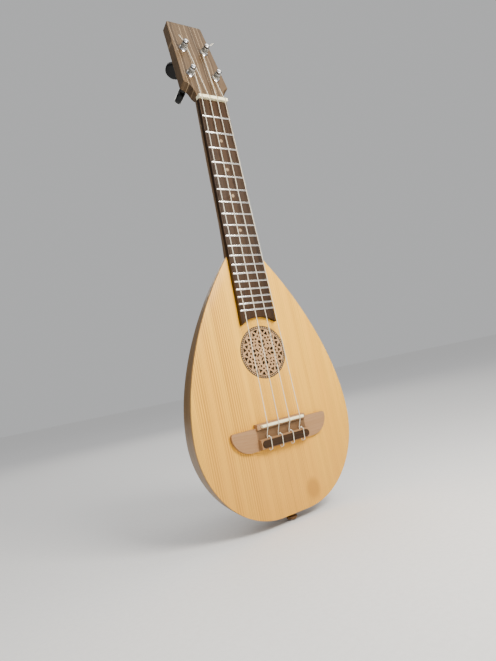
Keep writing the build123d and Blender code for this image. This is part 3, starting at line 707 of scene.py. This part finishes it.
class MANDOLIN_OT_neck(bpy.types.Operator):
    """Neck, headstock, fingerboard, inlaid dots and nut"""

    bl_idname = "mandolin.neck"
    bl_label = "Neck and fingerboard"

    def execute(self, context):
        eased = context.scene.mandolin_sizes.eased
        dress(finish("neck"), "neck")
        place(softened("headstock", eased), ROOT, "headstock", finish("headstock"), "headstock")
        place(softened("fingerboard", 0.25 * MM), ROOT, "fingerboard", finish("fingerboard"), "fingerboard")
        place(softened("nut", 0.3 * MM), ROOT, "bone", finish("bone"), "nut")
        dress(finish("inlay"), "position_dots")
        return {"FINISHED"}


class MANDOLIN_OT_frets(bpy.types.Operator):
    """Fret wires: domed bars with filed ends"""

    bl_idname = "mandolin.frets"
    bl_label = "Frets"

    def execute(self, context):
        low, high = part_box("frets")
        points = np.array([v.co for v in frame["nodes"]["frets"].data.vertices])
        crowns = points[points[:, 1] < low.y + 0.05 * MM]
        heights = sorted({round(float(z), 4) for z in crowns[:, 2]})
        rows = []
        for z in heights:
            if not rows or z - rows[-1] > 2 * MM:
                rows.append(z)
        turn = np.linspace(0, pi, 13)
        grids = []
        for z in rows:
            half = crowns[np.abs(crowns[:, 2] - z) < MM][:, 0].max()
            along = np.array([-1, -0.995, -0.985, -0.96, 0.96, 0.985, 0.995, 1]) * half
            drop = np.array([0.35, 0.7, 0.9, 1, 1, 0.9, 0.7, 0.35])
            width, tall = 1.1 * MM, 1.0 * MM
            y = BOARD_LOW.y - tall * np.outer(drop, np.sin(turn))
            zz = z + width * np.outer(np.sqrt(drop), np.cos(turn))
            grids.append(np.stack([np.repeat(along[:, None], len(turn), 1), y, zz], -1))
        bars = [mesh_piece(f"fret_{i}", grid, wrap_cols=True) for i, grid in enumerate(grids)]
        with context.temp_override(active_object=bars[0], selected_editable_objects=bars, selected_objects=bars):
            bpy.ops.object.join()
        bars[0].name = "fret_wires"
        place(bars[0], ROOT, "frets", finish("fret wire"), "frets")
        return {"FINISHED"}


class MANDOLIN_OT_bridge(bpy.types.Operator):
    """Bridge, bone saddle and the dark cap of the tie block"""

    bl_idname = "mandolin.bridge"
    bl_label = "Bridge"

    def execute(self, context):
        place(softened("bridge", 0.7 * MM, 3), ROOT, "bridge", finish("bridge"), "bridge")
        place(softened("saddle", 0.3 * MM), ROOT, "bone", finish("bone"), "saddle")
        dress(finish("cap"), "tie_block_cap")
        return {"FINISHED"}


class MANDOLIN_OT_strings(bpy.types.Operator):
    """The four clear strings, their turns on the posts and their loose ends"""

    bl_idname = "mandolin.strings"
    bl_label = "Strings"

    def execute(self, context):
        dress(finish("nylon"), *(f"string_{number}" for number in range(1, 5)))
        for number, joint in enumerate(JOINTS, 1):
            turns, tail = self.winding(Vector(joint["pos_m"]), *LOOSE_ENDS[number - 1])
            coil = mesh_piece(f"coil_{number}", tube(turns, STRING_R, FACE_OUT), wrap_cols=True, sharp=60)
            place(coil, f"tuner_{number}", "strings", finish("wound nylon"), f"string_winding_{number}")
            loose = mesh_piece(f"loose_end_{number}", tube(tail, STRING_R, FACE_OUT), wrap_cols=True, sharp=60)
            place(loose, f"tuner_{number}", "strings", finish("nylon"))
        return {"FINISHED"}

    def winding(self, foot, bearing, loose, rise):
        """A helix of even pitch that lifts at its end, a short bend to the hole, and the loose end beyond it.

        The whole turns are four or five, and the part turn brings the helix round to the hole's near side.
        """
        left = foot.x < 0
        begin = 0.0 if left else pi
        way = 1.0 if left else -1.0
        enter = radians(bearing) + pi
        part = ((enter - begin) * way / (2 * pi)) % 1.0
        turns = part + (5.0 if part < 0.45 else 4.0)
        along = np.linspace(0, 1, int(28 * turns))
        done = along * turns
        angle = begin + way * done * 2 * pi
        near = np.clip(1 - done / 0.3, 0, 1)
        radius = POST_R + STRING_R * 1.08 + near ** 2 * 0.85 * MM
        lift = np.clip((done - turns + 0.45) / 0.45, 0, 1)
        lift = lift * lift * (3 - 2 * lift)
        height = (3.0 + 0.85 * done) * MM
        height = height + lift * (POST_HOLE_H - height)
        x, y, out = (np.array(v) for v in (Vector((1, 0, 0)), FACE_UP, FACE_OUT))
        at = np.array(foot)
        helix = at + np.outer(radius * np.cos(angle), x) + np.outer(radius * np.sin(angle), y) + np.outer(height, out)
        level = cos(radians(bearing)) * x + sin(radians(bearing)) * y
        away = level * cos(radians(rise)) + out * sin(radians(rise))
        hole = at + POST_HOLE_H * out
        tangent = helix[-1] - helix[-2]
        tangent = tangent / np.linalg.norm(tangent)
        mouth = hole - away * 2.2 * MM
        bend = bezier([helix[-1], helix[-1] + tangent * 1.1 * MM, hole - away * 3.4 * MM, mouth], 9)
        droop = np.linspace(0, 1, 14)
        tail = mouth + np.outer(droop * (5.2 + loose) * MM, away)
        tail = tail + np.outer(droop ** 3 * 0.05 * loose * MM, y)
        return np.vstack([helix, bend[1:]]), tail


class MANDOLIN_OT_tuners(bpy.types.Operator):
    """Posts, ferrules, sleeves, paddle buttons and their screws"""

    bl_idname = "mandolin.tuners"
    bl_label = "Tuners"

    def execute(self, context):
        for number, joint in enumerate(JOINTS, 1):
            foot = Vector(joint["pos_m"])
            self.post(number, foot)
            self.button(number, foot)
            dress(finish("chrome"), f"button_screw_{number}")
        dress(finish("chrome"), "front_ferrules", "rear_sleeves")
        return {"FINISHED"}

    def post(self, number, foot):
        """Turned profile r(h): shank, waist groove and domed cap, with a black band of painted shade lying in the
        groove.
        """
        outline = [(0, -30), (2.4, -30), (2.4, -19.6), (3.0, -19.6), (3.0, 9.2), (2.5, 9.5), (2.5, 10.1),
                   (3.3, 10.3), (3.3, 11.25), (2.7, 11.8), (1.5, 12.12), (0, 12.2)]
        grid = spin_profile(rounded(np.array(outline) * MM, 0.22 * MM), foot, FACE_OUT)
        piece = mesh_piece(f"post_{number}", grid, wrap_cols=True, sharp=50)
        place(piece, f"tuner_{number}", "tuner_metal", finish("chrome"), f"tuner_post_{number}")
        # painted shade: a black band under the cap, standing in for the shade in the groove
        band = [(2.3, 8.75), (3.04, 8.75), (3.06, 9.15), (2.62, 9.5), (2.56, 9.8), (2.62, 10.15), (2.3, 10.25)]
        lathed = spin_profile(np.array(band) * MM, foot, FACE_OUT)
        ring = mesh_piece(f"post_shade_band_{number}", lathed, wrap_rows=True, wrap_cols=True)
        place(ring, f"tuner_{number}", "tuner_metal", finish("groove"))

    def button(self, number, foot):
        """A paddle of superellipse sections |x/w|^p + |y/t|^p = 1, with w, t and p varying along the post."""
        points = np.array([v.co for v in frame["nodes"][f"tuner_button_{number}"].data.vertices]) - np.array(foot)
        axis = np.array(FACE_OUT)
        flat = points - np.outer(points @ axis, axis)
        wide = flat[np.argmax(np.linalg.norm(flat, axis=1))]
        wide -= axis * (wide @ axis)
        spread = flat[np.linalg.norm(flat, axis=1) > 0.9 * np.linalg.norm(wide)]
        wide = spread[(spread @ wide) > 0].mean(0)
        wide /= np.linalg.norm(wide)
        thin = np.cross(axis, wide)
        collar = [(0.02, -20.4), (3.1, -20.4), (3.1, -19.75), (4.4, -19.75), (4.65, -20.2), (5.2, -22.5)]
        waist = bezier([(5.2, -22.5), (6.0, -25.0), (10.6, -26.0), (10.6, -31.0)], 20)
        crown = bezier([(10.6, -31.0), (10.6, -37.5), (7.0, -41.45), (3.0, -41.45)], 24)
        seat = [(2.85, -41.2), (2.85, -40.3), (0.02, -40.3)]
        w, h = (np.vstack([collar, waist[1:], crown[1:], seat]) * MM).T
        swell = np.clip(w / (10.6 * MM), 0, 1)
        ends = np.sqrt(np.clip(1 - (np.abs(-h / MM - 30.5) / 12.6) ** 5, 0.02, 1))
        t = np.minimum(4.4 * MM * np.clip(ends * 1.04, 0, 1), w)
        t[w <= 3.0 * MM] = w[w <= 3.0 * MM]
        turn = np.linspace(0, 2 * pi, 56, endpoint=False)
        power = (2.0 + 2.2 * swell)[:, None]
        square = (np.abs(np.cos(turn)) ** power + np.abs(np.sin(turn)) ** power) ** (-1 / power)
        grid = np.array(foot) + h[:, None, None] * axis
        grid = grid + (w[:, None] * square * np.cos(turn))[..., None] * wide
        grid = grid + (t[:, None] * square * np.sin(turn))[..., None] * thin
        piece = mesh_piece(f"button_{number}", grid, wrap_cols=True, sharp=60)
        place(piece, f"tuner_{number}", "button_plastic", finish("button"), f"tuner_button_{number}")


class MANDOLIN_OT_end_pin(bpy.types.Operator):
    """The turned strap pin at the tail"""

    bl_idname = "mandolin.end_pin"
    bl_label = "End pin"

    def execute(self, context):
        outline = [(0, 20.6), (2.6, 20.6), (3.25, 18.6), (3.25, 5.6), (5.6, 5.6), (5.6, 4.5), (3.6, 3.8),
                   (3.6, 2.0), (4.6, 1.5), (6.0, 1.3), (6.0, -1.0), (5.2, -1.9), (3.0, -2.35), (0, -2.4)]
        grid = spin_profile(rounded(np.array(outline) * MM, 0.4 * MM), (0, 0, 0), (0, 0, 1))
        piece = mesh_piece("strap_pin", grid, wrap_cols=True, sharp=50)
        place(piece, ROOT, "end_pin", finish("pin"), "end_pin")
        return {"FINISHED"}


class MANDOLIN_OT_stage(bpy.types.Operator):
    """Pale floor, soft lights and the camera"""

    bl_idname = "mandolin.stage"
    bl_label = "Stage"

    def execute(self, context):
        scene = context.scene
        turn = np.linspace(0, 2 * pi, 64, endpoint=False)
        radius = np.array([0.001, 1.0, 8.0, 60.0])
        flat = np.full((len(radius), len(turn)), FLOOR_Z)
        grid = np.stack([np.outer(radius, np.cos(turn)), np.outer(radius, np.sin(turn)), flat], -1)
        floor = mesh_piece("floor", grid, wrap_cols=True, caps=False)
        pale = polished("pale floor", (0.80, 0.80, 0.79), 0.9, 0.1, mottle=(0.77, 0.77, 0.76), gloss=0.0)
        floor.data.materials.append(pale)
        scene.world = self.studio()
        self.lamp("key", (0.10, -0.52, 0.50), (0, 0, 0.24), 0.26, 7.2)
        self.lamp("top", (0.50, -0.36, 1.45), (0, 0, 0.5), 0.60, 3.5)
        self.lamp("fill", (-1.2, -1.4, 0.9), (0, 0, 0.25), 0.9, 5.0)
        self.lamp("rim", (0.6, 1.4, 1.3), (0, 0, 0.3), 0.9, 8.0)
        camera = bpy.data.cameras.new("camera")
        camera.lens = scene.mandolin_sizes.lens
        camera.sensor_width = 36.0
        camera.clip_start = 0.01
        eye = bpy.data.objects.new("camera", camera)
        right = Vector((0.8298, -0.5198, -0.2031)).normalized()
        look = Vector((0.5466, 0.8304, 0.1080)).normalized()
        up = right.cross(look)
        turned = Matrix((right, up, -look)).transposed().to_4x4()
        eye.matrix_world = Matrix.Translation((-0.3101, -0.4615, 0.1507)) @ turned
        scene.collection.objects.link(eye)
        scene.camera = eye
        return {"FINISHED"}

    def studio(self):
        """A pale backdrop, with light that falls from bright overhead to dim at the sides."""
        world = bpy.data.worlds.new("studio")
        world.use_nodes = True
        tree = world.node_tree
        plain = tree.nodes["Background"]
        plain.inputs["Color"].default_value = (0.50, 0.505, 0.51, 1)
        height = node(tree, "SeparateXYZ", Vector=node(tree, "TexCoord").outputs["Generated"]).outputs[2]
        glow = node(tree, "MapRange", Value=height)
        for label, value in (("From Min", 0.1), ("From Max", 1.0), ("To Min", 0.015), ("To Max", 0.5)):
            glow.inputs[label].default_value = value
        gloss = node(tree, "Background", Color=(1.0, 1.0, 1.0, 1), Strength=glow.outputs[0])
        soft = node(tree, "Background", Color=(0.98, 0.98, 1.0, 1), Strength=0.72)
        path = node(tree, "LightPath")
        lit = node(tree, "MixShader", i0=path.outputs["Is Diffuse Ray"], i1=gloss.outputs[0], i2=soft.outputs[0])
        mixed = node(tree, "MixShader", i0=path.outputs["Is Camera Ray"], i1=lit.outputs[0], i2=plain.outputs[0])
        tree.links.new(mixed.outputs[0], tree.nodes["World Output"].inputs["Surface"])
        return world

    def lamp(self, name, spot, target, size, power):
        """A square area light at spot that points at target."""
        light = bpy.data.lights.new(name, "AREA")
        light.size = size
        light.energy = power
        light.color = (1.0, 0.96, 0.89)
        lamp = bpy.data.objects.new(name, light)
        lamp.location = spot
        lamp.rotation_euler = (Vector(target) - Vector(spot)).to_track_quat("-Z", "Y").to_euler()
        lamp.visible_camera = False
        bpy.context.scene.collection.objects.link(lamp)


OPERATORS = (
    MANDOLIN_OT_stage,
    MANDOLIN_OT_front,
    MANDOLIN_OT_bowl,
    MANDOLIN_OT_neck,
    MANDOLIN_OT_frets,
    MANDOLIN_OT_bridge,
    MANDOLIN_OT_strings,
    MANDOLIN_OT_tuners,
    MANDOLIN_OT_end_pin,
)


class MANDOLIN_PT_panel(bpy.types.Panel):
    """Buttons for each group of pieces"""

    bl_idname = "MANDOLIN_PT_panel"
    bl_label = "Mandolin"
    bl_space_type = "VIEW_3D"
    bl_region_type = "UI"
    bl_category = "Mandolin"

    def draw(self, context):
        for group in (context.scene.mandolin_tints, context.scene.mandolin_sizes):
            for key in group.__annotations__:
                self.layout.prop(group, key)
        for operator in OPERATORS:
            self.layout.operator(operator.bl_idname)


CLASSES = (MandolinTints, MandolinSizes, *OPERATORS, MANDOLIN_PT_panel)


def register():
    for cls in CLASSES:
        bpy.utils.register_class(cls)
    bpy.types.Scene.mandolin_tints = PointerProperty(type=MandolinTints)
    bpy.types.Scene.mandolin_sizes = PointerProperty(type=MandolinSizes)


def unregister():
    del bpy.types.Scene.mandolin_sizes
    del bpy.types.Scene.mandolin_tints
    for cls in reversed(CLASSES):
        bpy.utils.unregister_class(cls)


def main():
    register()
    build_timber_group()
    build_handling_group()
    MATERIALS.update(make_materials(bpy.context.scene.mandolin_tints))
    for operator in OPERATORS:
        group, name = operator.bl_idname.split(".")
        getattr(getattr(bpy.ops, group), name)()
    bpy.context.view_layer.update()


if __name__ == "__main__":
    main()
